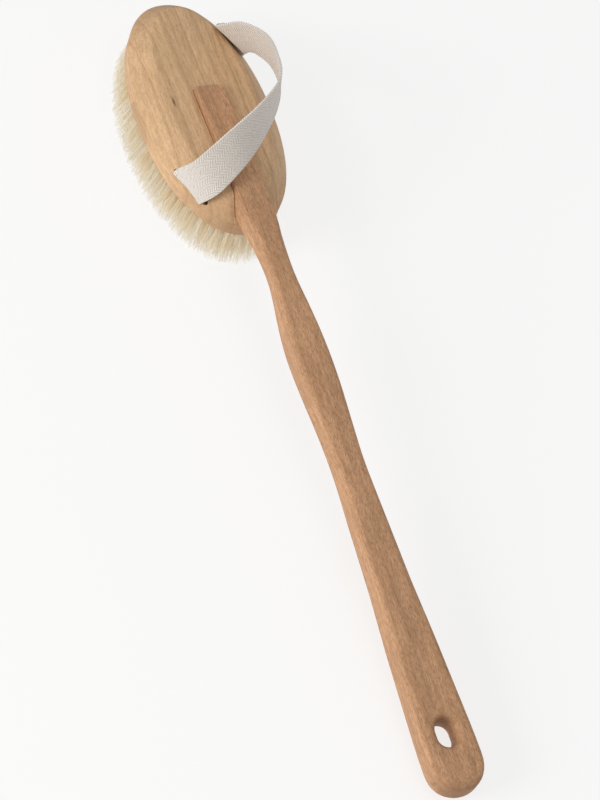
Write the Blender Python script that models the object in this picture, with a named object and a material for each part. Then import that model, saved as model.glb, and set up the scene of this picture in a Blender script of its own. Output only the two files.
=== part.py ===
"""Body dry brush: an oval beech head with bristle rows, a cotton hand strap and a pull-out handle.

Metres, +Z up.  The bristle tips stand on z = 0 under the head's centre, the head's far tip
points to +Y and the handle runs to -Y.  The handle's origin is on its slide line.
"""
import math

import bmesh
import bpy
from mathutils import Vector

# Head block
HEAD_LENGTH = 0.141
HEAD_WIDTH = 0.069
HEAD_THICKNESS = 0.019
HEAD_WALL = 0.0085          # upright band left round the rim
HEAD_FULLNESS = 2.14        # 2 is an ellipse, more is squarer
HEAD_SEGMENTS = 88
CREASE_INSET = 0.010        # the rim's slope reaches the flat back this far in
CREASE_SOFTNESS = 0.0020    # height over which slope and flat back blend
EDGE_CHAMFER = 0.0008
RIM_INSETS = (0.0, 0.0004, 0.0020, 0.0045, 0.0070, 0.0082, 0.0092, 0.0100, 0.0108, 0.0118, 0.0132)

# Fits
FIT_CLEARANCE = 0.0003      # between tongue and groove, and between bristle roots and head
STRAP_CLEARANCE = 0.0006    # each side of the strap in its slots
CUT_OVERRUN = 0.004         # how far cutters run past the faces they cut

# Tongue and groove
TONGUE_REACH = 0.0063       # past the head's centre
TONGUE_DEPTH = 0.0080       # below the head's back
TONGUE_FLOOR_HALF = 0.0081  # half width at the groove's floor
DOVETAIL_LEAN = 0.06        # half width lost for each metre of height
TONGUE_RISE = 0.0030        # the tongue stands this proud of the back at its tip
TONGUE_CLIMB = 0.0008       # and this much more where it leaves the head
TONGUE_CORNERS = (0.0007, 0.0028)   # plan rounding at the tip, left and right
TONGUE_ARRIS = 0.0005       # rounding along the tongue's long edges
CORNER_STEPS = 4            # facets in a quarter round
TONGUE_BODY_RINGS = (0.20, 0.50, 1.0)   # further sections, as shares of the tongue's length

# Handle
HANDLE_END = 0.368          # from the head's centre to the butt
HANDLE_FALL = 0.097         # drop for each metre run, once past the neck
FALL_START = 0.030          # the fall begins this far past the rim
FALL_EASE = 0.012           # and comes in over about this length
ROOT_BLEND = 0.020          # the tongue's depth turns into the bar's over this length
BUTT_ROUND = 0.0145
BUTT_FULLNESS = 2.35
BUTT_RINGS = 10
BUTT_LAST_TURN = math.radians(84.0)     # the last ring stops just short of the very end
BUTT_CROWN = 0.22           # share of the thickness each face loses at the end
BUTT_CORNER_SHARE = 0.45    # the end's corners, at most, as a share of the half width
HANDLE_CORNER = 0.0025
SECTION_CORNER_POINTS = 4
HANDLE_RINGS = 52
# half widths of the bar: distance past the rim as a share of the free length, and half width
HALF_WIDTHS = (
    (0.000, 0.0073), (0.030, 0.0070), (0.060, 0.0063), (0.094, 0.0057), (0.121, 0.0055),
    (0.151, 0.0060), (0.185, 0.0071), (0.228, 0.0082), (0.268, 0.00875), (0.302, 0.00885),
    (0.342, 0.0086), (0.386, 0.0079), (0.430, 0.0072), (0.465, 0.0069), (0.505, 0.0071),
    (0.554, 0.0077), (0.604, 0.0081), (0.668, 0.0088), (0.711, 0.0096), (0.755, 0.0104),
    (0.795, 0.0110), (0.836, 0.0115), (0.876, 0.0121), (0.916, 0.0127), (0.956, 0.0129),
    (1.000, 0.0129),
)
# thickness of the bar, the same way
THICKNESSES = (
    (0.000, 0.0118), (0.060, 0.0120), (0.121, 0.0123), (0.200, 0.0142), (0.250, 0.0146),
    (0.320, 0.0130), (0.386, 0.0122), (0.470, 0.0129), (0.600, 0.0137), (0.770, 0.0141),
    (0.900, 0.0137), (1.000, 0.0130),
)

# Hang hole
HOLE_FROM_END = 0.0268
HOLE_WIDTH = 0.0100
HOLE_LENGTH = 0.0128
HOLE_DISH = 0.0030          # rounded rim on both faces
HOLE_SEGMENTS = 32

# Hand strap
STRAP_WIDTH = 0.0200
STRAP_THICKNESS = 0.0011
STRAP_IN_SLOT = 0.0080
STRAP_STAND = 0.0024        # straight stretch outside each slot before the strap bends over
STRAP_SEGMENTS = 66
SLOT_LENGTH = 0.0248
SLOT_EXTRA_DEPTH = 0.0005
SLOT_OFFSET_X = 0.722       # slot mouth, as a share of the head's half width
SLOT_OFFSET_Y = 0.644       # and of its half length
SLOT_ANGLE = math.radians(-67.5)
FAR_SLOT_SHIFT = 0.0035     # the far slot sits this much nearer the handle, along its own length
SLOT_DIP = math.radians(33.0)
# strap centre line between its slots: sideways and lengthwise as shares of the head's half
# sizes, height above the head's back, and the direction of the strap's width
STRAP_STATIONS = (
    (-0.249, -0.666, 0.0206, (0.65, -0.38, -0.66)),
    (0.203, -0.517, 0.0270, (0.35, -0.20, -0.91)),
    (0.612, -0.309, 0.0271, (0.11, -0.19, -0.98)),
    (0.823, -0.061, 0.0235, (0.21, -0.33, -0.92)),
    (0.899, 0.191, 0.0171, (0.29, -0.30, -0.91)),
    (0.777, 0.385, 0.0108, (0.46, -0.35, -0.81)),
)
# first and last bend of the strap, measured from the mouth of their slot, and the width direction
NEAR_BEND = (0.0031, -0.0060, 0.0153)
NEAR_BEND_TURN = (0.63, -0.64, -0.45)
FAR_BEND = (-0.0042, -0.0061, 0.0091)
FAR_BEND_TURN = (0.68, -0.55, -0.48)

# Bristles
BRISTLE_LENGTH = 0.020
BRISTLE_EDGE = 0.0045       # outer row's centre line in from the rim
ROW_PITCH = 0.0050
RING_ROWS = 6
ROW_BAND = 0.0028           # width of a row at its roots
ROOT_BAND_HEIGHT = 0.0012
TUFT_PITCH = 0.0060
TUFT_SPREAD = 1.30          # tuft tip size over root size
TIP_SPLAY = 0.0045          # outer row's tips lean out this far
CENTRE_TUFTS = 11
FEWEST_TUFTS = 8
ANGLE_STEPS = 720           # fine steps used to share out the tufts evenly
HALVINGS = 30               # rounds of the search for a point's distance from the rim


def clear_scene():
    for item in list(bpy.data.objects):
        bpy.data.objects.remove(item, do_unlink=True)


def material(name, colour, roughness):
    mat = bpy.data.materials.new(name)
    mat.use_nodes = True
    shader = mat.node_tree.nodes["Principled BSDF"]
    shader.inputs["Base Color"].default_value = (*colour, 1.0)
    shader.inputs["Roughness"].default_value = roughness
    mat.diffuse_color = (*colour, 1.0)
    return mat


def solid(name, verts, faces, mat, origin=(0.0, 0.0, 0.0)):
    """One closed body facing outward, with its origin where it is asked for."""
    base = Vector(origin)
    mesh = bpy.data.meshes.new(name)
    mesh.from_pydata([Vector(v) - base for v in verts], [], faces)
    work = bmesh.new()
    work.from_mesh(mesh)
    bmesh.ops.recalc_face_normals(work, faces=work.faces)
    work.to_mesh(mesh)
    work.free()
    if mat:
        mesh.materials.append(mat)
    item = bpy.data.objects.new(name, mesh)
    item.location = base
    bpy.context.scene.collection.objects.link(item)
    return item


def loft(rings):
    """Vertices and faces of a closed tube through rings of equal length, capped at both ends."""
    count = len(rings[0])
    verts = [point for ring in rings for point in ring]
    faces = []
    for row in range(len(rings) - 1):
        for col in range(count):
            nxt = (col + 1) % count
            low = row * count
            high = low + count
            faces.append((low + col, low + nxt, high + nxt, high + col))
    faces.append(tuple(reversed(range(count))))
    faces.append(tuple(range(len(verts) - count, len(verts))))
    return verts, faces


def cut(item, cutter):
    cutter.hide_render = True
    cutter.display_type = 'WIRE'
    step = item.modifiers.new(cutter.name, 'BOOLEAN')
    step.operation = 'DIFFERENCE'
    step.solver = 'EXACT'
    step.object = cutter


def smooth_table(table, at):
    """Cubic through the table's points, with slopes taken from the neighbouring points."""
    last = len(table) - 1
    spot = 0
    while spot < last - 1 and at > table[spot + 1][0]:
        spot += 1
    before = table[max(spot - 1, 0)]
    left = table[spot]
    right = table[spot + 1]
    after = table[min(spot + 2, last)]
    span = right[0] - left[0]
    share = min(max((at - left[0]) / span, 0.0), 1.0)
    slope_left = (right[1] - before[1]) / (right[0] - before[0])
    slope_right = (after[1] - left[1]) / (after[0] - left[0])
    s2 = share * share
    s3 = s2 * share
    return ((2 * s3 - 3 * s2 + 1) * left[1] + (s3 - 2 * s2 + share) * span * slope_left
            + (3 * s2 - 2 * s3) * right[1] + (s3 - s2) * span * slope_right)


def ease(share):
    share = min(max(share, 0.0), 1.0)
    return share * share * (3.0 - 2.0 * share)


# ---------------------------------------------------------------- head

def head_back():
    return BRISTLE_LENGTH + HEAD_THICKNESS


def oval(half_x, half_y, height, segments):
    power = 2.0 / HEAD_FULLNESS
    ring = []
    for step in range(segments):
        angle = 2.0 * math.pi * (step + 0.5) / segments
        c = math.cos(angle)
        s = math.sin(angle)
        x = half_x * math.copysign(abs(c) ** power, c)
        y = half_y * math.copysign(abs(s) ** power, s)
        ring.append((x, y, height))
    return ring


def back_height(inset):
    """Height of the head's back above its underside, a distance in from the rim."""
    slope = HEAD_WALL + (HEAD_THICKNESS - HEAD_WALL) * inset / CREASE_INSET
    height = min(slope, HEAD_THICKNESS)
    gap = abs(slope - HEAD_THICKNESS)
    if gap < CREASE_SOFTNESS:
        height -= (CREASE_SOFTNESS - gap) ** 2 / (4.0 * CREASE_SOFTNESS)
    return height


def inset_at(x, y):
    """How far in from the rim a point of the back lies, by halving."""
    near = 0.0
    far = HEAD_WIDTH / 2.0
    for _ in range(HALVINGS):
        mid = (near + far) / 2.0
        reach_x = HEAD_WIDTH / 2.0 - mid
        reach_y = HEAD_LENGTH / 2.0 - mid
        if (abs(x) / reach_x) ** HEAD_FULLNESS + (abs(y) / reach_y) ** HEAD_FULLNESS < 1.0:
            near = mid
        else:
            far = mid
    return near


def head_rings():
    half_x = HEAD_WIDTH / 2.0
    half_y = HEAD_LENGTH / 2.0
    base = BRISTLE_LENGTH
    rings = [
        oval(half_x - EDGE_CHAMFER, half_y - EDGE_CHAMFER, base, HEAD_SEGMENTS),
        oval(half_x, half_y, base + EDGE_CHAMFER, HEAD_SEGMENTS),
    ]
    for inset in RIM_INSETS:
        flat = oval(half_x - inset, half_y - inset, 0.0, HEAD_SEGMENTS)
        rings.append([(x, y, base + back_height(inset)) for x, y, _ in flat])
    return rings


def tip_sections(extra):
    """Distances back from the tongue's tip, each with what the rounded corners take off left and right."""
    radii = [corner + extra for corner in TONGUE_CORNERS]
    spots = {0.0}
    for radius in radii:
        for step in range(1, CORNER_STEPS + 1):
            spots.add(radius * (1.0 - math.cos(0.5 * math.pi * step / CORNER_STEPS)))
    rows = []
    for spot in sorted(spots):
        lost = []
        for radius in radii:
            reach = radius - min(spot, radius)
            lost.append(radius - math.sqrt(radius ** 2 - reach ** 2))
        rows.append((spot, lost[0], lost[1]))
    return rows


def groove_cutter():
    """Dovetail groove, open at the handle's end of the head, with the tongue's rounded corners."""
    floor = head_back() - TONGUE_DEPTH - FIT_CLEARANCE
    top = head_back() + CUT_OVERRUN
    low = TONGUE_FLOOR_HALF + FIT_CLEARANCE + DOVETAIL_LEAN * FIT_CLEARANCE
    high = low - DOVETAIL_LEAN * (top - floor)
    tip = TONGUE_REACH + FIT_CLEARANCE
    sections = [(tip - spot, left, right) for spot, left, right in tip_sections(FIT_CLEARANCE)]
    sections.append((-HEAD_LENGTH / 2.0 - CUT_OVERRUN, 0.0, 0.0))
    rings = []
    for y, left, right in sections:
        rings.append([(-low + left, y, floor), (low - right, y, floor), (high - right, y, top), (-high + left, y, top)])
    verts, faces = loft(rings)
    return solid("groove_cutter", verts, faces, None)


def slot_mouth(side):
    """Middle of a slot's mouth on the rim's slope."""
    x = side * SLOT_OFFSET_X * HEAD_WIDTH / 2.0
    y = side * SLOT_OFFSET_Y * HEAD_LENGTH / 2.0
    if side > 0.0:
        x += FAR_SLOT_SHIFT * math.cos(SLOT_ANGLE)
        y += FAR_SLOT_SHIFT * math.sin(SLOT_ANGLE)
    return Vector((x, y, BRISTLE_LENGTH + back_height(inset_at(x, y))))


def slot_axes(side):
    """Directions along a slot, through its thickness and down into the wood."""
    along = Vector((math.cos(SLOT_ANGLE), math.sin(SLOT_ANGLE), 0.0))
    inward = Vector((-along.y, along.x, 0.0)) * -side
    into = inward * math.cos(SLOT_DIP) + Vector((0.0, 0.0, -math.sin(SLOT_DIP)))
    return along, along.cross(into), into


def slot_cutter(side, name):
    """Round-ended slot for one end of the strap."""
    along, across, into = slot_axes(side)
    half = STRAP_THICKNESS / 2.0 + STRAP_CLEARANCE
    run = SLOT_LENGTH / 2.0 - half
    rings = []
    for depth in (STRAP_IN_SLOT + SLOT_EXTRA_DEPTH, -CUT_OVERRUN):
        ring = []
        for end in (1.0, -1.0):
            for step in range(CORNER_STEPS + 1):
                angle = math.pi * (step / CORNER_STEPS - 0.5)
                spot = slot_mouth(side) + into * depth + end * along * (run + half * math.cos(angle))
                ring.append(spot + end * across * half * math.sin(angle))
        rings.append(ring)
    verts, faces = loft(rings)
    return solid(name, verts, faces, None)


def build_head():
    verts, faces = loft(head_rings())
    head = solid("head_block", verts, faces, material("beech_head", (0.80, 0.60, 0.42), 0.55))
    cut(head, groove_cutter())
    cut(head, slot_cutter(-1.0, "slot_cutter_near"))
    cut(head, slot_cutter(1.0, "slot_cutter_far"))
    return head


# ---------------------------------------------------------------- handle

def tongue_half_width(height):
    floor = head_back() - TONGUE_DEPTH
    return TONGUE_FLOOR_HALF - DOVETAIL_LEAN * (height - floor)


def handle_section(y, half_low, half_high, low, high, round_low, round_high):
    """Four-sided section with rounded corners, anticlockwise from the lower left."""
    corners = (
        (-half_low, low, round_low, math.pi), (half_low, low, round_low, 1.5 * math.pi),
        (half_high, high, round_high, 0.0), (-half_high, high, round_high, 0.5 * math.pi),
    )
    ring = []
    lean = (half_low - half_high) / (high - low)
    for x, z, radius, start in corners:
        rise = -radius if z == high else radius
        cx = x - math.copysign(radius + lean * rise, x)
        cz = z + rise
        for step in range(SECTION_CORNER_POINTS):
            angle = start + 0.5 * math.pi * step / (SECTION_CORNER_POINTS - 1)
            ring.append((cx + radius * math.cos(angle), y, cz + radius * math.sin(angle)))
    return ring


def handle_heights(past_rim):
    """Underside and top of the bar, a distance past the head's rim."""
    back = head_back()
    free = HANDLE_END - HEAD_LENGTH / 2.0
    run = past_rim - FALL_START
    top = back + TONGUE_RISE + TONGUE_CLIMB
    top -= HANDLE_FALL * (run + math.hypot(run, FALL_EASE)) / 2.0
    low = top - smooth_table(THICKNESSES, past_rim / free)
    tongue_low = back - TONGUE_DEPTH
    low = tongue_low + (low - tongue_low) * ease(past_rim / ROOT_BLEND)
    return low, top


def tongue_rings():
    back = head_back()
    floor = back - TONGUE_DEPTH
    reach = TONGUE_REACH + HEAD_LENGTH / 2.0
    rise_end = handle_heights(0.0)[1] - back
    sections = tip_sections(0.0) + [(share * reach, 0.0, 0.0) for share in TONGUE_BODY_RINGS]
    rings = []
    for spot, left, right in sections:
        top = back + TONGUE_RISE + (rise_end - TONGUE_RISE) * ease(spot / reach)
        low_half = TONGUE_FLOOR_HALF - (left + right) / 2.0
        high_half = tongue_half_width(top) - (left + right) / 2.0
        shift = (left - right) / 2.0
        ring = handle_section(TONGUE_REACH - spot, low_half, high_half, floor, top, TONGUE_ARRIS, TONGUE_ARRIS)
        rings.append([(x + shift, y, z) for x, y, z in ring])
    return rings


def bar_rings():
    rim = HEAD_LENGTH / 2.0
    free = HANDLE_END - rim
    out = []
    for step in range(1, HANDLE_RINGS + 1):
        past = (free - BUTT_ROUND) * step / (HANDLE_RINGS + 0.5)
        low, top = handle_heights(past)
        half = smooth_table(HALF_WIDTHS, past / free)
        start = ease(past / ROOT_BLEND)
        lean = DOVETAIL_LEAN * (top - low) * (1.0 - start)
        corner = TONGUE_ARRIS + (HANDLE_CORNER - TONGUE_ARRIS) * start
        out.append(handle_section(-rim - past, half + lean, half, low, top, corner, corner))
    for step in range(BUTT_RINGS):
        angle = BUTT_LAST_TURN * step / (BUTT_RINGS - 1)
        run = math.sin(angle) ** (2.0 / BUTT_FULLNESS)
        past = free - BUTT_ROUND * (1.0 - run)
        low, top = handle_heights(past)
        half = smooth_table(HALF_WIDTHS, past / free) * math.cos(angle) ** (2.0 / BUTT_FULLNESS)
        pull = BUTT_CROWN * (top - low) * (1.0 - math.cos(angle))
        corner = min(HANDLE_CORNER, BUTT_CORNER_SHARE * half)
        out.append(handle_section(-rim - past, half, half, low + pull, top - pull, corner, corner))
    return out


def hole_cutter():
    """Long round-ended hole, square to the falling bar, with rims that open in quarter rounds."""
    past = HANDLE_END - HEAD_LENGTH / 2.0 - HOLE_FROM_END
    low, top = handle_heights(past)
    tilt = math.atan(HANDLE_FALL)
    along = Vector((0.0, math.cos(tilt), math.sin(tilt)))
    upward = Vector((0.0, -math.sin(tilt), math.cos(tilt)))
    centre = Vector((0.0, -HANDLE_END + HOLE_FROM_END, (low + top) / 2.0))
    half_depth = (top - low) / 2.0 * math.cos(tilt)
    mouth = HOLE_WIDTH / 2.0 + HOLE_DISH
    run = (HOLE_LENGTH - HOLE_WIDTH) / 2.0
    profile = [(-half_depth - CUT_OVERRUN, mouth)]
    for side in (-1.0, 1.0):
        rise = range(CORNER_STEPS + 1) if side < 0.0 else range(CORNER_STEPS, -1, -1)
        for step in rise:
            angle = 0.5 * math.pi * step / CORNER_STEPS
            radius = mouth - HOLE_DISH * math.sin(angle)
            profile.append((side * (half_depth - HOLE_DISH * (1.0 - math.cos(angle))), radius))
    profile.append((half_depth + CUT_OVERRUN, mouth))
    rings = []
    for height, radius in profile:
        ring = []
        for step in range(HOLE_SEGMENTS):
            angle = 2.0 * math.pi * (step + 0.5) / HOLE_SEGMENTS
            reach = math.copysign(run, math.sin(angle)) + radius * math.sin(angle)
            spot = centre + along * reach + upward * height
            spot.x = radius * math.cos(angle)
            ring.append(spot)
        rings.append(ring)
    verts, faces = loft(rings)
    return solid("hang_hole_cutter", verts, faces, None)


def build_handle():
    verts, faces = loft(tongue_rings() + bar_rings())
    origin = (0.0, 0.0, head_back())
    handle = solid("handle", verts, faces, material("beech_handle", (0.74, 0.52, 0.35), 0.55), origin)
    cut(handle, hole_cutter())
    return handle


# ---------------------------------------------------------------- strap

def strap_line():
    """Points and width directions along the strap, from inside one slot to inside the other."""
    near = slot_mouth(-1.0)
    far = slot_mouth(1.0)
    along, _, near_into = slot_axes(-1.0)
    far_into = slot_axes(1.0)[2]
    knots = [(near + near_into * STRAP_IN_SLOT, along), (near - near_into * STRAP_STAND, along)]
    knots.append((near + Vector(NEAR_BEND), Vector(NEAR_BEND_TURN).normalized()))
    for side, length, height, turn in STRAP_STATIONS:
        spot = Vector((side * HEAD_WIDTH / 2.0, length * HEAD_LENGTH / 2.0, head_back() + height))
        knots.append((spot, Vector(turn).normalized()))
    knots.append((far + Vector(FAR_BEND), Vector(FAR_BEND_TURN).normalized()))
    knots.append((far - far_into * STRAP_STAND, along))
    knots.append((far + far_into * STRAP_IN_SLOT, along))
    return knots


def spline(before, left, right, after, share):
    s2 = share * share
    s3 = s2 * share
    return 0.5 * (2.0 * left + (right - before) * share
                  + (2.0 * before - 5.0 * left + 4.0 * right - after) * s2
                  + (3.0 * left - before - 3.0 * right + after) * s3)


def strap_stations():
    knots = strap_line()
    last = len(knots) - 1
    points = []
    for step in range(STRAP_SEGMENTS + 1):
        at = last * step / STRAP_SEGMENTS
        spot = min(int(at), last - 1)
        share = at - spot
        ends = [knots[max(spot - 1, 0)], knots[spot], knots[spot + 1], knots[min(spot + 2, last)]]
        if spot == 0 or spot == last - 1:
            place = ends[1][0].lerp(ends[2][0], share)
            turn = ends[1][1].lerp(ends[2][1], share)
        else:
            place = spline(*[end[0] for end in ends], share)
            turn = spline(*[end[1] for end in ends], share)
        points.append((place, turn))
    return points


def build_strap():
    points = strap_stations()
    rings = []
    half_w = STRAP_WIDTH / 2.0
    half_t = STRAP_THICKNESS / 2.0
    for step, (place, turn) in enumerate(points):
        ahead = points[min(step + 1, len(points) - 1)][0] - points[max(step - 1, 0)][0]
        ahead.normalize()
        wide = (turn - ahead * turn.dot(ahead)).normalized()
        thick = ahead.cross(wide)
        ring = []
        for across, through in ((-1, -1), (0, -1), (1, -1), (1, 1), (0, 1), (-1, 1)):
            ring.append(place + wide * across * half_w + thick * through * half_t)
        rings.append(ring)
    verts, faces = loft(rings)
    return solid("hand_strap", verts, faces, material("cotton_tape", (0.90, 0.88, 0.84), 0.9))


# ---------------------------------------------------------------- bristles

def tuft_foot(corners, tips):
    """Tip corners of one tuft, given its root corners and where its middle ends up."""
    middle = sum((Vector(c) for c in corners), Vector()) / 4.0
    out = []
    for corner in corners:
        off = (Vector(corner) - middle) * TUFT_SPREAD
        out.append((tips[0] + off.x, tips[1] + off.y, 0.0))
    return out


def ring_row(number, mat):
    """One oval row: a thin root band with a tuft on every other segment."""
    inset = BRISTLE_EDGE + ROW_PITCH * number
    half_x = HEAD_WIDTH / 2.0 - inset
    half_y = HEAD_LENGTH / 2.0 - inset
    around = math.pi * (3.0 * (half_x + half_y) - math.sqrt((3.0 * half_x + half_y) * (half_x + 3.0 * half_y)))
    tufts = max(FEWEST_TUFTS, round(around / TUFT_PITCH))
    count = 2 * tufts
    splay = TIP_SPLAY * (1.0 - number / (RING_ROWS + 0.5))
    angles = even_angles(half_x, half_y, count)
    top = BRISTLE_LENGTH - FIT_CLEARANCE
    low = top - ROOT_BAND_HEIGHT
    verts = []
    for angle in angles:
        for edge in (-0.5, 0.5):
            for height in (low, top):
                x = (half_x + edge * ROW_BAND) * math.cos(angle)
                y = (half_y + edge * ROW_BAND) * math.sin(angle)
                verts.append((x, y, height))
    faces = []
    for step in range(count):
        a = 4 * step
        b = 4 * ((step + 1) % count)
        faces.append((a + 1, b + 1, b + 3, a + 3))
        faces.append((a, a + 1, b + 1, b))
        faces.append((a + 2, b + 2, b + 3, a + 3))
        root = (a, b, b + 2, a + 2)
        if step % 2:
            faces.append(root)
        else:
            corners = [verts[index] for index in root]
            middle = sum((Vector(c) for c in corners), Vector()) / 4.0
            outward = Vector((middle.x / half_x ** 2, middle.y / half_y ** 2, 0.0)).normalized()
            first = len(verts)
            verts.extend(tuft_foot(corners, (middle.x + outward.x * splay, middle.y + outward.y * splay)))
            for side in range(4):
                nxt = (side + 1) % 4
                faces.append((root[side], root[nxt], first + nxt, first + side))
            faces.append((first, first + 1, first + 2, first + 3))
    return solid(f"bristle_row_{number + 1}", verts, faces, mat)


def even_angles(half_x, half_y, count):
    """Angles that split an ellipse into steps of equal length."""
    lengths = [0.0]
    for step in range(ANGLE_STEPS):
        a = 2.0 * math.pi * step / ANGLE_STEPS
        b = 2.0 * math.pi * (step + 1) / ANGLE_STEPS
        dx = half_x * (math.cos(b) - math.cos(a))
        dy = half_y * (math.sin(b) - math.sin(a))
        lengths.append(lengths[-1] + math.hypot(dx, dy))
    angles = []
    spot = 0
    for step in range(count):
        want = lengths[-1] * step / count
        while lengths[spot + 1] < want:
            spot += 1
        share = (want - lengths[spot]) / (lengths[spot + 1] - lengths[spot])
        angles.append(2.0 * math.pi * (spot + share) / ANGLE_STEPS)
    return angles


def centre_row(mat):
    """The straight middle row: a root strip with tufts, one of them on the head's centre."""
    half_band = ROW_BAND / 2.0
    half_tuft = TUFT_PITCH / 4.0
    top = BRISTLE_LENGTH - FIT_CLEARANCE
    low = top - ROOT_BAND_HEIGHT
    first_y = -TUFT_PITCH * (CENTRE_TUFTS - 1) / 2.0
    lines = []
    for tuft in range(CENTRE_TUFTS):
        y = first_y + tuft * TUFT_PITCH
        lines.extend((y - half_tuft, y + half_tuft))
    verts = []
    for y in lines:
        verts.extend(((-half_band, y, low), (-half_band, y, top), (half_band, y, low), (half_band, y, top)))
    faces = [(0, 1, 3, 2)]
    for step in range(len(lines) - 1):
        a = 4 * step
        b = a + 4
        faces.append((a + 1, b + 1, b + 3, a + 3))
        faces.append((a, a + 1, b + 1, b))
        faces.append((a + 2, b + 2, b + 3, a + 3))
        root = (a, b, b + 2, a + 2)
        if step % 2:
            faces.append(root)
        else:
            corners = [verts[index] for index in root]
            middle = sum((Vector(c) for c in corners), Vector()) / 4.0
            first = len(verts)
            verts.extend(tuft_foot(corners, (middle.x, middle.y)))
            for side in range(4):
                nxt = (side + 1) % 4
                faces.append((root[side], root[nxt], first + nxt, first + side))
            faces.append((first, first + 1, first + 2, first + 3))
    end = 4 * (len(lines) - 1)
    faces.append((end, end + 1, end + 3, end + 2))
    return solid("bristle_row_centre", verts, faces, mat)


def build_bristles():
    mat = material("bristle", (0.90, 0.84, 0.68), 0.6)
    for number in range(RING_ROWS):
        ring_row(number, mat)
    centre_row(mat)


def main():
    clear_scene()
    build_head()
    build_handle()
    build_strap()
    build_bristles()


main()
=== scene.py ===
"""Finish and looks of a long-handled body brush.

Beech head and handle, herringbone hand strap and tufted bristles, in metres with +Z up.
"""
import math

import bpy
import numpy as np
from mathutils import Matrix, Vector


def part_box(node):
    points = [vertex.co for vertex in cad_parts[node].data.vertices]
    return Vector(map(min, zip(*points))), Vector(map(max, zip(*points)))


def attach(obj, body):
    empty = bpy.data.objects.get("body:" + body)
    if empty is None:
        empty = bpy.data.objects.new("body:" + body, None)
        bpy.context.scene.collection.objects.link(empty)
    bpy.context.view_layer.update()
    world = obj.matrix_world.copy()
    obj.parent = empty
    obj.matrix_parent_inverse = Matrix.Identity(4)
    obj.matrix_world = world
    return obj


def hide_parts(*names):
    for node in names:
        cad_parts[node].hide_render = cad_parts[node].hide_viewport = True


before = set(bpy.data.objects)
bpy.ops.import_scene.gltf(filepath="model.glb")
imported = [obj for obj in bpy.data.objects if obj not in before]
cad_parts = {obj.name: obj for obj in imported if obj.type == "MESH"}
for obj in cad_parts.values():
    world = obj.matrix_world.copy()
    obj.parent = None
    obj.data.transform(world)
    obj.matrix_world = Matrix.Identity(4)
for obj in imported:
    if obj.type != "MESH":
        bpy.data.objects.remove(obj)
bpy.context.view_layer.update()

MM = 0.001

HEAD_LOW, HEAD_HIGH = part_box("head_block")

# Wood
HEAD_EASED = 0.5 * MM
HANDLE_EASED = 0.25 * MM
WELD = 0.02 * MM
FLAT_ANGLE = math.radians(0.6)
EASED_ANGLE = math.radians(38.0)
SMOOTH_ANGLE = math.radians(32.0)
RING_SLANT = math.radians(4.0)
KNOT_COLOUR = (0.13, 0.07, 0.04)
# grain layers: pattern scale, detail, roughness, warp, low and high of the ramp, share of the colour
FIBRES = ((1300.0, 150.0, 1300.0), 4.0, 0.70, 0.0, 0.36, 0.64, 0.38)
STREAKS = ((460.0, 17.0, 460.0), 3.0, 0.60, 0.0, 0.38, 0.62, 0.26)
BANDS = ((120.0, 5.0, 90.0), 3.0, 0.55, 0.5, 0.32, 0.68, 0.22)
CLOUDS = ((24.0, 9.0, 24.0), 2.0, 0.50, 0.0, 0.30, 0.70, 0.14)
# dark flecks: pattern scale and strength
FLECKS = (((1900.0, 260.0, 1900.0), 0.52), ((3000.0, 480.0, 3000.0), 0.48))

# Strap: width, thickness and the route of its middle with the direction across it
TAPE_WIDTH = 20.0 * MM
TAPE_THICKNESS = 1.1 * MM
TAPE_IN_SLOT = 8.0 * MM
TAPE_STAND = 2.4 * MM
SLOT_ANGLE = math.radians(-67.5)
SLOT_DIP = math.radians(33.0)
FAR_SLOT_SHIFT = 3.5 * MM
FAR_TAPE_SHIFT = 1.6 * MM   # the tape lies towards the handle's end of its far slot
SLOT_MOUTH = (24.91 * MM, 45.40 * MM, 30.9 * MM)
TAPE_ROUTE = (
    ((-0.02180, -0.05139, 0.0463), (0.63, -0.64, -0.45)),
    ((-0.00859, -0.04695, 0.0596), (0.65, -0.38, -0.66)),
    ((0.00700, -0.03645, 0.0660), (0.35, -0.20, -0.91)),
    ((0.02111, -0.02178, 0.0661), (0.11, -0.19, -0.98)),
    ((0.02839, -0.00430, 0.0625), (0.21, -0.33, -0.92)),
    ((0.03102, 0.01347, 0.0561), (0.29, -0.30, -0.91)),
    ((0.02681, 0.02714, 0.0498), (0.46, -0.35, -0.81)),
    ((0.02230, 0.03520, 0.0401), (0.68, -0.55, -0.48)),
)
TAPE_ROWS = 260
TAPE_COLUMNS = 24
FLAT_TAPE = (TAPE_WIDTH, 176.0 * MM)
TAPE_EDGE = 0.35 * MM
CHEVRON_HALF = 2.5          # half a zigzag, in millimetres across the tape
TWILL_PITCH = 1.1           # one twill line, in millimetres along it
WARP_PITCH = 0.62

# Bristles
BRISTLE_LENGTH = HEAD_LOW.z
OUTER_ROW_INSET = 4.5 * MM
ROW_PITCH = 5.0 * MM
RING_ROWS = 6
TUFT_PITCH = 4.7 * MM
TIP_SPLAY = 4.6 * MM
TUFT_ROOT = 1.35 * MM
TUFT_TIP = 3.7 * MM
HAIRS_IN_TUFT = 96
HAIR_THICKNESS = 0.11 * MM
TIP_SCATTER = 0.28 * MM
HAIR_BOW = 0.35 * MM
LENGTH_SCATTER = 0.018
CENTRE_TUFTS = 14
ANGLE_STEPS = 720

# Camera: its place, the point of the floor it looks at, and its roll about that line
CAMERA_PLACE = (-0.45089, -0.66596, 0.92273)
CAMERA_TARGET = (0.002665, -0.154947, 0.0)
CAMERA_ROLL = math.radians(25.973)
CAMERA_LENS = 107.587
CAMERA_SENSOR = 36.0


# ---------------------------------------------------------------- helpers

def deselect():
    if bpy.context.object and bpy.context.object.mode != "OBJECT":
        bpy.ops.object.mode_set(mode="OBJECT")
    bpy.ops.object.select_all(action="DESELECT")


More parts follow.
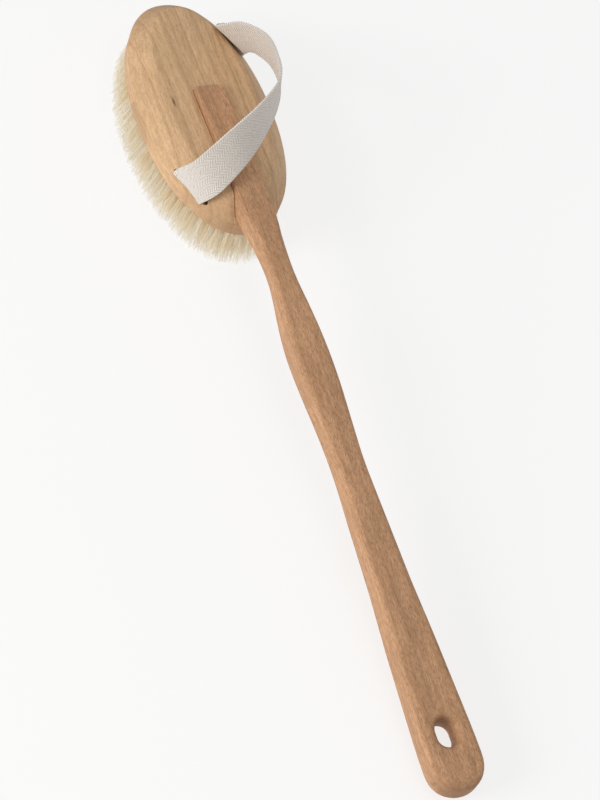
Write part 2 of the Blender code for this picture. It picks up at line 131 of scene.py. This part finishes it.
def pick(item):
    deselect()
    item.select_set(True)
    bpy.context.view_layer.objects.active = item


def settle(item, name, body):
    """Names a finished piece, puts its place into its mesh and hangs it on its body."""
    pick(item)
    bpy.ops.object.transform_apply(location=True, rotation=True, scale=True)
    item.name = name
    item.data.name = name
    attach(item, body)


def mix_colours(nodes, links, share, dark, light):
    mix = nodes.new("ShaderNodeMix")
    mix.data_type = "RGBA"
    links.new(share, mix.inputs[0])
    for socket, value in ((mix.inputs[6], dark), (mix.inputs[7], light)):
        if hasattr(value, "is_output"):
            links.new(value, socket)
        else:
            socket.default_value = (*value, 1.0)
    return mix.outputs[2]


def ramp(nodes, links, share, low, high):
    """0 below low, 1 above high, straight between."""
    turn = nodes.new("ShaderNodeMapRange")
    turn.inputs["From Min"].default_value = low
    turn.inputs["From Max"].default_value = high
    links.new(share, turn.inputs["Value"])
    return turn.outputs["Result"]


def maths(nodes, links, kind, left, right):
    step = nodes.new("ShaderNodeMath")
    step.operation = kind
    for socket, value in zip(step.inputs, (left, right)):
        if hasattr(value, "is_output"):
            links.new(value, socket)
        else:
            socket.default_value = value
    return step.outputs[0]


def wave(nodes, links, distance, pitch):
    """A sine with one full turn for each pitch."""
    turned = maths(nodes, links, "MULTIPLY", distance, 2.0 * math.pi / pitch)
    return maths(nodes, links, "SINE", turned, 0.0)


def noise(nodes, links, place, scale, detail=3.0, rough=0.5, warp=0.0):
    cloud = nodes.new("ShaderNodeTexNoise")
    cloud.inputs["Scale"].default_value = scale
    cloud.inputs["Detail"].default_value = detail
    cloud.inputs["Roughness"].default_value = rough
    cloud.inputs["Distortion"].default_value = warp
    links.new(place, cloud.inputs["Vector"])
    return cloud.outputs["Fac"]


def stretched(nodes, links, place, scale, shift=(0.0, 0.0, 0.0), turn=(0.0, 0.0, 0.0)):
    mapping = nodes.new("ShaderNodeMapping")
    mapping.inputs["Location"].default_value = shift
    mapping.inputs["Rotation"].default_value = turn
    mapping.inputs["Scale"].default_value = scale
    links.new(place, mapping.inputs["Vector"])
    return mapping.outputs["Vector"]


def ramp_between(nodes, links, share, low, high):
    turn = nodes.new("ShaderNodeMapRange")
    turn.inputs["To Min"].default_value = low
    turn.inputs["To Max"].default_value = high
    links.new(share, turn.inputs["Value"])
    return turn.outputs["Result"]


def new_material(name, roughness):
    mat = bpy.data.materials.new(name)
    mat.use_nodes = True
    shader = mat.node_tree.nodes["Principled BSDF"]
    shader.inputs["Roughness"].default_value = roughness
    return mat, mat.node_tree.nodes, mat.node_tree.links, shader


# ---------------------------------------------------------------- finishes

def grain_layer(nodes, links, place, shift, layer):
    scale, detail, rough, warp = layer[:4]
    return noise(nodes, links, stretched(nodes, links, place, scale, shift), 1.0, detail, rough, warp)


def beech(name, pale, deep, dark_fleck_and_shade, shift, fleck_share, ring_share, knot=None):
    """Sanded bare beech: grain along Y, growth lines, fine fibres, short dark flecks, and faces turned along
    Y darker, partly as the deeper grain cut across at the ends and partly as painted shade on the walls at
    the ends.
    """
    mat, nodes, links, shader = new_material(name, 0.62)
    shader.inputs["Specular IOR Level"].default_value = 0.3
    spots = nodes.new("ShaderNodeTexCoord")
    place = spots.outputs["Object"]
    fibres = grain_layer(nodes, links, place, shift, FIBRES)
    streaks = grain_layer(nodes, links, place, shift, STREAKS)
    bands = grain_layer(nodes, links, place, shift, BANDS)
    clouds = grain_layer(nodes, links, place, shift, CLOUDS)
    blend = None
    for layer, recipe in ((fibres, FIBRES), (streaks, STREAKS), (bands, BANDS), (clouds, CLOUDS)):
        low, high, weight = recipe[4:]
        part = maths(nodes, links, "MULTIPLY", ramp(nodes, links, layer, low, high), weight)
        blend = part if blend is None else maths(nodes, links, "ADD", blend, part)
    colour = mix_colours(nodes, links, blend, deep, pale)
    rings = nodes.new("ShaderNodeTexWave")
    rings.wave_type = "BANDS"
    rings.bands_direction = "X"
    rings.wave_profile = "SAW"
    rings.inputs["Scale"].default_value = 1.0
    rings.inputs["Distortion"].default_value = 2.6
    rings.inputs["Detail"].default_value = 2.0
    rings.inputs["Detail Scale"].default_value = 0.6
    slanted = stretched(nodes, links, place, (36.0, 3.2, 30.0), shift, (0.0, 0.0, RING_SLANT))
    links.new(slanted, rings.inputs["Vector"])
    line = ramp(nodes, links, rings.outputs["Fac"], 0.80, 1.0)
    colour = mix_colours(nodes, links, maths(nodes, links, "MULTIPLY", line, ring_share), colour, dark_fleck_and_shade)
    for size, strength in FLECKS:
        specks = nodes.new("ShaderNodeTexVoronoi")
        specks.inputs["Scale"].default_value = 1.0
        links.new(stretched(nodes, links, place, size, shift), specks.inputs["Vector"])
        near = ramp(nodes, links, specks.outputs["Distance"], fleck_share, fleck_share * 0.4)
        colour = mix_colours(nodes, links, maths(nodes, links, "MULTIPLY", near, strength), colour, dark_fleck_and_shade)
    # faces turned towards +Y or -Y are darkened: partly the deeper grain cut across at the ends, partly
    # painted shade on the walls at the ends
    facing = nodes.new("ShaderNodeSeparateXYZ")
    links.new(spots.outputs["Normal"], facing.inputs[0])
    end_grain_and_painted_shade = ramp(nodes, links, maths(nodes, links, "ABSOLUTE", facing.outputs["Y"], 0.0), 0.25, 0.85)
    colour = mix_colours(nodes, links, maths(nodes, links, "MULTIPLY", end_grain_and_painted_shade, 0.55), colour, dark_fleck_and_shade)
    if knot:
        spot = nodes.new("ShaderNodeVectorMath")
        spot.operation = "LENGTH"
        links.new(stretched(nodes, links, place, (1250.0, 240.0, 120.0), knot), spot.inputs[0])
        mark = ramp(nodes, links, spot.outputs["Value"], 1.0, 0.25)
        colour = mix_colours(nodes, links, maths(nodes, links, "MULTIPLY", mark, 0.85), colour, KNOT_COLOUR)
    links.new(colour, shader.inputs["Base Color"])
    links.new(ramp_between(nodes, links, streaks, 0.56, 0.70), shader.inputs["Roughness"])
    bump = nodes.new("ShaderNodeBump")
    bump.inputs["Strength"].default_value = 0.35
    bump.inputs["Distance"].default_value = 0.0001
    links.new(fibres, bump.inputs["Height"])
    links.new(bump.outputs["Normal"], shader.inputs["Normal"])
    return mat


def herringbone_cotton():
    """Undyed cotton tape: herringbone stripes that follow its length, over fine warp threads."""
    mat, nodes, links, shader = new_material("undyed_herringbone_cotton", 0.9)
    shader.inputs["Specular IOR Level"].default_value = 0.15
    shader.inputs["Sheen Weight"].default_value = 0.25
    shader.inputs["Sheen Roughness"].default_value = 0.5
    spread = nodes.new("ShaderNodeUVMap").outputs["UV"]
    parts = nodes.new("ShaderNodeSeparateXYZ")
    links.new(spread, parts.inputs[0])
    across = maths(nodes, links, "MULTIPLY", parts.outputs["X"], TAPE_WIDTH / MM)
    along = maths(nodes, links, "MULTIPLY", parts.outputs["Y"], FLAT_TAPE[1] / MM)
    zigzag = maths(nodes, links, "PINGPONG", across, CHEVRON_HALF)
    slant = maths(nodes, links, "ADD", zigzag, along)
    twill = wave(nodes, links, slant, TWILL_PITCH)
    warp = wave(nodes, links, across, WARP_PITCH)
    weave = maths(nodes, links, "ADD", twill, maths(nodes, links, "MULTIPLY", warp, 0.30))
    place = nodes.new("ShaderNodeTexCoord").outputs["Object"]
    slub = noise(nodes, links, place, 900.0, 3.0)
    uneven = maths(nodes, links, "MULTIPLY", slub, 0.4)
    relief = maths(nodes, links, "ADD", ramp(nodes, links, weave, -1.3, 1.3), uneven)
    shade = ramp(nodes, links, relief, 0.1, 1.15)
    colour = mix_colours(nodes, links, shade, (0.36, 0.32, 0.28), (1.0, 0.935, 0.865))
    links.new(colour, shader.inputs["Base Color"])
    bump = nodes.new("ShaderNodeBump")
    bump.inputs["Strength"].default_value = 0.6
    bump.inputs["Distance"].default_value = 0.0001
    links.new(maths(nodes, links, "ADD", weave, slub), bump.inputs["Height"])
    links.new(bump.outputs["Normal"], shader.inputs["Normal"])
    return mat


def natural_bristle():
    """Cream bristle, yellower towards the root, each hair a little different.

    The weak glow stands in for light scattered between fine white fibres.
    """
    mat, nodes, links, shader = new_material("natural_bristle", 0.5)
    shader.inputs["Specular IOR Level"].default_value = 0.35
    place = nodes.new("ShaderNodeTexCoord").outputs["Object"]
    parts = nodes.new("ShaderNodeSeparateXYZ")
    links.new(place, parts.inputs[0])
    rise = ramp(nodes, links, parts.outputs["Z"], 0.0, BRISTLE_LENGTH)
    patches = noise(nodes, links, stretched(nodes, links, place, (260.0, 260.0, 40.0)), 1.0, 2.0)
    yellowing = maths(nodes, links, "POWER", rise, 1.6)
    body = mix_colours(nodes, links, yellowing, (1.0, 0.965, 0.88), (0.95, 0.80, 0.52))
    colour = mix_colours(nodes, links, ramp(nodes, links, patches, 0.35, 0.75), body, (1.0, 0.985, 0.94))
    tone = nodes.new("ShaderNodeAttribute")
    tone.attribute_name = "hair_tone"
    darker = maths(nodes, links, "MULTIPLY", tone.outputs["Fac"], 0.45)
    colour = mix_colours(nodes, links, darker, colour, (0.90, 0.76, 0.50))
    links.new(colour, shader.inputs["Base Color"])
    shader.inputs["Emission Color"].default_value = (1.0, 0.93, 0.80, 1.0)
    shader.inputs["Emission Strength"].default_value = 0.125
    through = nodes.new("ShaderNodeBsdfTranslucent")
    links.new(colour, through.inputs["Color"])
    both = nodes.new("ShaderNodeMixShader")
    both.inputs["Fac"].default_value = 0.5
    links.new(shader.outputs["BSDF"], both.inputs[1])
    links.new(through.outputs["BSDF"], both.inputs[2])
    links.new(both.outputs["Shader"], nodes["Material Output"].inputs["Surface"])
    return mat


# ---------------------------------------------------------------- wooden pieces

def sanded_copy(node, name, body, mat, edge):
    """The CAD piece with its facets merged, its arrises eased and its curves shaded smooth."""
    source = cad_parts[node]
    piece = bpy.data.objects.new(name, source.data.copy())
    bpy.context.scene.collection.objects.link(piece)
    pick(piece)
    bpy.ops.object.mode_set(mode="EDIT")
    bpy.ops.mesh.select_all(action="SELECT")
    bpy.ops.mesh.remove_doubles(threshold=WELD)
    bpy.ops.mesh.dissolve_limited(angle_limit=FLAT_ANGLE)
    bpy.ops.object.mode_set(mode="OBJECT")
    softener = piece.modifiers.new("eased_edges", "BEVEL")
    softener.width = edge
    softener.segments = 2
    softener.limit_method = "ANGLE"
    softener.angle_limit = EASED_ANGLE
    bpy.ops.object.modifier_apply(modifier=softener.name)
    bpy.ops.object.shade_smooth_by_angle(angle=SMOOTH_ANGLE)
    piece.data.materials.clear()
    piece.data.materials.append(mat)
    settle(piece, name, body)
    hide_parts(node)


# ---------------------------------------------------------------- hand strap

def curve_point(before, left, right, after, share):
    s2 = share * share
    s3 = s2 * share
    return 0.5 * (2.0 * left + (right - before) * share
                  + (2.0 * before - 5.0 * left + 4.0 * right - after) * s2
                  + (3.0 * left - before - 3.0 * right + after) * s3)


def tape_route():
    """Knots from inside one slot, over the hand gap, to inside the other."""
    along = Vector((math.cos(SLOT_ANGLE), math.sin(SLOT_ANGLE), 0.0))
    knots = []
    ends = []
    for side in (-1.0, 1.0):
        inward = Vector((-along.y, along.x, 0.0)) * -side
        into = inward * math.cos(SLOT_DIP) - Vector((0.0, 0.0, math.sin(SLOT_DIP)))
        mouth = Vector((side * SLOT_MOUTH[0], side * SLOT_MOUTH[1], SLOT_MOUTH[2]))
        if side > 0.0:
            mouth += along * (FAR_SLOT_SHIFT + FAR_TAPE_SHIFT)
        ends.append(((mouth + into * TAPE_IN_SLOT, along), (mouth - into * TAPE_STAND, along)))
    knots.extend(ends[0])
    for spot, turn in TAPE_ROUTE:
        knots.append((Vector(spot), Vector(turn).normalized()))
    knots.extend((ends[1][1], ends[1][0]))
    return knots


def tape_lines():
    """Middle of the tape and the direction across it, row by row."""
    knots = tape_route()
    last = len(knots) - 1
    lines = []
    for step in range(TAPE_ROWS + 1):
        at = last * step / TAPE_ROWS
        spot = min(int(at), last - 1)
        share = at - spot
        near = [knots[max(spot - 1, 0)], knots[spot], knots[spot + 1], knots[min(spot + 2, last)]]
        if spot in (0, last - 1):
            place = near[1][0].lerp(near[2][0], share)
            turn = near[1][1].lerp(near[2][1], share)
        else:
            place = curve_point(*[knot[0] for knot in near], share)
            turn = curve_point(*[knot[1] for knot in near], share)
        lines.append((place, turn))
    return lines


def weave_strap(mat):
    """The tape as a grid laid along its route, thickened, with its flat length on the UV map."""
    lines = tape_lines()
    deselect()
    bpy.ops.mesh.primitive_grid_add(
        x_subdivisions=TAPE_COLUMNS, y_subdivisions=TAPE_ROWS, size=1.0, calc_uvs=True)
    strap = bpy.context.object
    run = [0.0]
    for step in range(TAPE_ROWS):
        run.append(run[-1] + (lines[step + 1][0] - lines[step][0]).length)
    for row in range(TAPE_ROWS + 1):
        place, turn = lines[row]
        ahead = (lines[min(row + 1, TAPE_ROWS)][0] - lines[max(row - 1, 0)][0]).normalized()
        wide = (turn - ahead * turn.dot(ahead)).normalized()
        for column in range(TAPE_COLUMNS + 1):
            across = column / TAPE_COLUMNS - 0.5
            vertex = strap.data.vertices[row * (TAPE_COLUMNS + 1) + column]
            vertex.co = place + wide * across * TAPE_WIDTH
    layer = strap.data.uv_layers.active.data
    for loop in strap.data.loops:
        row, column = divmod(loop.vertex_index, TAPE_COLUMNS + 1)
        layer[loop.index].uv = (column / TAPE_COLUMNS, run[row] / FLAT_TAPE[1])
    pick(strap)
    bpy.ops.object.mode_set(mode="EDIT")
    bpy.ops.mesh.select_all(action="SELECT")
    bpy.ops.mesh.normals_make_consistent(inside=False)
    bpy.ops.object.mode_set(mode="OBJECT")
    body = strap.modifiers.new("tape_thickness", "SOLIDIFY")
    body.thickness = TAPE_THICKNESS
    body.offset = 0.0
    bpy.ops.object.modifier_apply(modifier=body.name)
    edge = strap.modifiers.new("soft_edge", "BEVEL")
    edge.width = TAPE_EDGE
    edge.segments = 2
    edge.limit_method = "ANGLE"
    edge.angle_limit = math.radians(50.0)
    bpy.ops.object.modifier_apply(modifier=edge.name)
    bpy.ops.object.shade_smooth_by_angle(angle=math.radians(60.0))
    strap.data.materials.clear()
    strap.data.materials.append(mat)
    settle(strap, "herringbone_hand_strap", "head")
    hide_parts("hand_strap")


# ---------------------------------------------------------------- bristles

def even_angles(half_x, half_y, count):
    """Angles that split an ellipse into steps of equal length."""
    lengths = [0.0]
    for step in range(ANGLE_STEPS):
        a = 2.0 * math.pi * step / ANGLE_STEPS
        b = 2.0 * math.pi * (step + 1) / ANGLE_STEPS
        dx = half_x * (math.cos(b) - math.cos(a))
        dy = half_y * (math.sin(b) - math.sin(a))
        lengths.append(lengths[-1] + math.hypot(dx, dy))
    wanted = [lengths[-1] * step / count for step in range(count)]
    return np.interp(wanted, lengths, np.linspace(0.0, 2.0 * math.pi, ANGLE_STEPS + 1))


def model_hair():
    """One bristle of unit height along -Z: a tapering three-sided stem."""
    deselect()
    bpy.ops.mesh.primitive_circle_add(vertices=3, radius=1.0, fill_type="NGON", location=(0.0, 0.0, 0.0))
    hair = bpy.context.object
    bpy.ops.object.mode_set(mode="EDIT")
    for drop, thin in ((0.34, 0.95), (0.33, 0.88), (0.33, 0.55)):
        bpy.ops.mesh.select_mode(type="FACE")
        bpy.ops.mesh.extrude_region_move(TRANSFORM_OT_translate={"value": (0.0, 0.0, -drop)})
        bpy.ops.transform.resize(value=(thin, thin, 1.0))
    bpy.ops.object.mode_set(mode="OBJECT")
    spots = np.array([v.co for v in hair.data.vertices])
    faces = [tuple(p.vertices) for p in hair.data.polygons]
    bpy.data.objects.remove(hair)
    return spots, faces


def tuft(hair, root, lean, seed, out_spots, out_faces, out_tones):
    """A bundle of bristles set in one hole, spreading towards its cut tips."""
    spots, faces = hair
    chance = np.random.default_rng(seed)
    for _ in range(HAIRS_IN_TUFT):
        angle = chance.uniform(0.0, 2.0 * math.pi)
        reach = math.sqrt(chance.uniform(0.0, 1.0))
        side = np.array((math.cos(angle), math.sin(angle))) * reach
        start = root + side * TUFT_ROOT
        finish = root + lean + side * TUFT_TIP + chance.normal(0.0, TIP_SCATTER, 2)
        length = BRISTLE_LENGTH * (1.0 - abs(chance.normal(0.0, LENGTH_SCATTER)))
        bow = chance.normal(0.0, HAIR_BOW, 2)
        thick = HAIR_THICKNESS * chance.uniform(0.8, 1.25)
        twist = chance.uniform(0.0, 2.0 * math.pi)
        c, s = math.cos(twist) * thick, math.sin(twist) * thick
        down = -spots[:, 2]
        swing = np.sin(math.pi * down)
        x = spots[:, 0] * c - spots[:, 1] * s + start[0] + (finish[0] - start[0]) * down + bow[0] * swing
        y = spots[:, 0] * s + spots[:, 1] * c + start[1] + (finish[1] - start[1]) * down + bow[1] * swing
        z = BRISTLE_LENGTH - length * down
        first = len(out_tones)
        out_spots.append(np.stack((x, y, z), 1))
        out_faces.extend(tuple(first + index for index in face) for face in faces)
        out_tones.extend([chance.uniform(0.0, 1.0) ** 2] * len(spots))


def plant_row(name, node, hair, places, mat, seed):
    """One row of tufts as one piece."""
    out_spots, out_faces, out_tones = [], [], []
    for number, (root, lean) in enumerate(places):
        tuft(hair, np.array(root), np.array(lean), seed * 1000 + number, out_spots, out_faces, out_tones)
    mesh = bpy.data.meshes.new(name)
    mesh.from_pydata(np.concatenate(out_spots).tolist(), [], out_faces)
    tones = mesh.attributes.new("hair_tone", "FLOAT", "POINT")
    tones.data.foreach_set("value", np.array(out_tones, np.float32))
    row = bpy.data.objects.new(name, mesh)
    bpy.context.scene.collection.objects.link(row)
    pick(row)
    bpy.ops.object.mode_set(mode="EDIT")
    bpy.ops.mesh.select_all(action="SELECT")
    bpy.ops.mesh.normals_make_consistent(inside=False)
    bpy.ops.object.mode_set(mode="OBJECT")
    bpy.ops.object.shade_smooth()
    mesh.materials.append(mat)
    settle(row, name, "head")
    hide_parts(node)


def around_oval(half_x, half_y):
    """Close value of an ellipse's outline."""
    total = half_x + half_y
    return math.pi * (3.0 * total - math.sqrt((total + 2.0 * half_x) * (total + 2.0 * half_y)))


def plant_bristles(mat):
    hair = model_hair()
    half_width = (HEAD_HIGH.x - HEAD_LOW.x) / 2.0
    half_length = (HEAD_HIGH.y - HEAD_LOW.y) / 2.0
    for number in range(RING_ROWS):
        inset = OUTER_ROW_INSET + ROW_PITCH * number
        half_x = half_width - inset
        half_y = half_length - inset
        splay = TIP_SPLAY * (1.0 - number / (RING_ROWS + 0.5))
        places = []
        for angle in even_angles(half_x, half_y, round(around_oval(half_x, half_y) / TUFT_PITCH)):
            x, y = half_x * math.cos(angle), half_y * math.sin(angle)
            outward = Vector((x / half_x ** 2, y / half_y ** 2)).normalized()
            places.append(((x, y), (outward.x * splay, outward.y * splay)))
        plant_row(f"bristle_ring_{number + 1}", f"bristle_row_{number + 1}", hair, places, mat, number + 1)
    first = -TUFT_PITCH * (CENTRE_TUFTS - 1) / 2.0
    middle = [((0.0, first + TUFT_PITCH * number), (0.0, 0.0)) for number in range(CENTRE_TUFTS)]
    plant_row("bristle_middle_row", "bristle_row_centre", hair, middle, mat, RING_ROWS + 1)


# ---------------------------------------------------------------- studio

def lay_floor():
    deselect()
    bpy.ops.mesh.primitive_plane_add(size=8.0, location=(0.0, 0.0, -0.0002))
    floor = bpy.context.object
    floor.name = "studio_floor"
    mat, nodes, links, shader = new_material("pale_studio_paper", 0.9)
    shader.inputs["Base Color"].default_value = (0.30, 0.30, 0.30, 1.0)
    shader.inputs["Specular IOR Level"].default_value = 0.0
    shader.inputs["Emission Color"].default_value = (1.0, 1.0, 1.0, 1.0)
    shader.inputs["Emission Strength"].default_value = 0.72
    floor.data.materials.append(mat)


def soft_light(name, place, target, size, power, tint):
    lamp = bpy.data.lights.new(name, "AREA")
    lamp.shape = "RECTANGLE"
    lamp.size = size[0]
    lamp.size_y = size[1]
    lamp.energy = power
    lamp.color = tint
    item = bpy.data.objects.new(name, lamp)
    bpy.context.scene.collection.objects.link(item)
    item.location = place
    item.rotation_euler = (Vector(target) - Vector(place)).to_track_quat("-Z", "Y").to_euler()


def light_studio():
    world = bpy.data.worlds.new("pale_room")
    bpy.context.scene.world = world
    world.use_nodes = True
    world.node_tree.nodes["Background"].inputs["Color"].default_value = (1.0, 1.0, 1.0, 1.0)
    world.node_tree.nodes["Background"].inputs["Strength"].default_value = 0.42
    soft_light("window_left", (-1.7, -0.25, 0.75), (0.0, -0.12, 0.02), (0.8, 0.8), 17.5, (1.0, 0.98, 0.94))
    soft_light("sky_above", (0.1, -0.2, 2.0), (0.0, -0.1, 0.0), (1.4, 1.4), 6.0, (1.0, 1.0, 1.0))


def place_camera():
    lens = bpy.data.cameras.new("studio_camera")
    lens.sensor_fit = "VERTICAL"
    lens.sensor_height = CAMERA_SENSOR
    lens.lens = CAMERA_LENS
    lens.clip_start = 0.05
    camera = bpy.data.objects.new("studio_camera", lens)
    bpy.context.scene.collection.objects.link(camera)
    gaze = (Vector(CAMERA_TARGET) - Vector(CAMERA_PLACE)).to_track_quat("-Z", "Y").to_matrix()
    turn = gaze @ Matrix.Rotation(CAMERA_ROLL, 3, "Z")
    camera.matrix_world = Matrix.Translation(CAMERA_PLACE) @ turn.to_4x4()
    bpy.context.scene.camera = camera


def main():
    bpy.context.scene.view_settings.view_transform = "Standard"
    place_camera()
    head_wood = beech("sanded_beech_head", (0.87, 0.58, 0.335), (0.47, 0.285, 0.15), (0.30, 0.165, 0.085),
                      (0.0, 0.0, 0.0), 0.30, 0.32, (24.75, -0.144, -4.68))
    handle_wood = beech("sanded_beech_handle", (0.80, 0.46, 0.255), (0.37, 0.195, 0.10), (0.24, 0.12, 0.06),
                        (3.1, 1.7, 0.6), 0.44, 0.16)
    sanded_copy("head_block", "beech_head", "head", head_wood, HEAD_EASED)
    sanded_copy("handle", "beech_handle", "handle", handle_wood, HANDLE_EASED)
    weave_strap(herringbone_cotton())
    plant_bristles(natural_bristle())
    lay_floor()
    light_studio()


main()
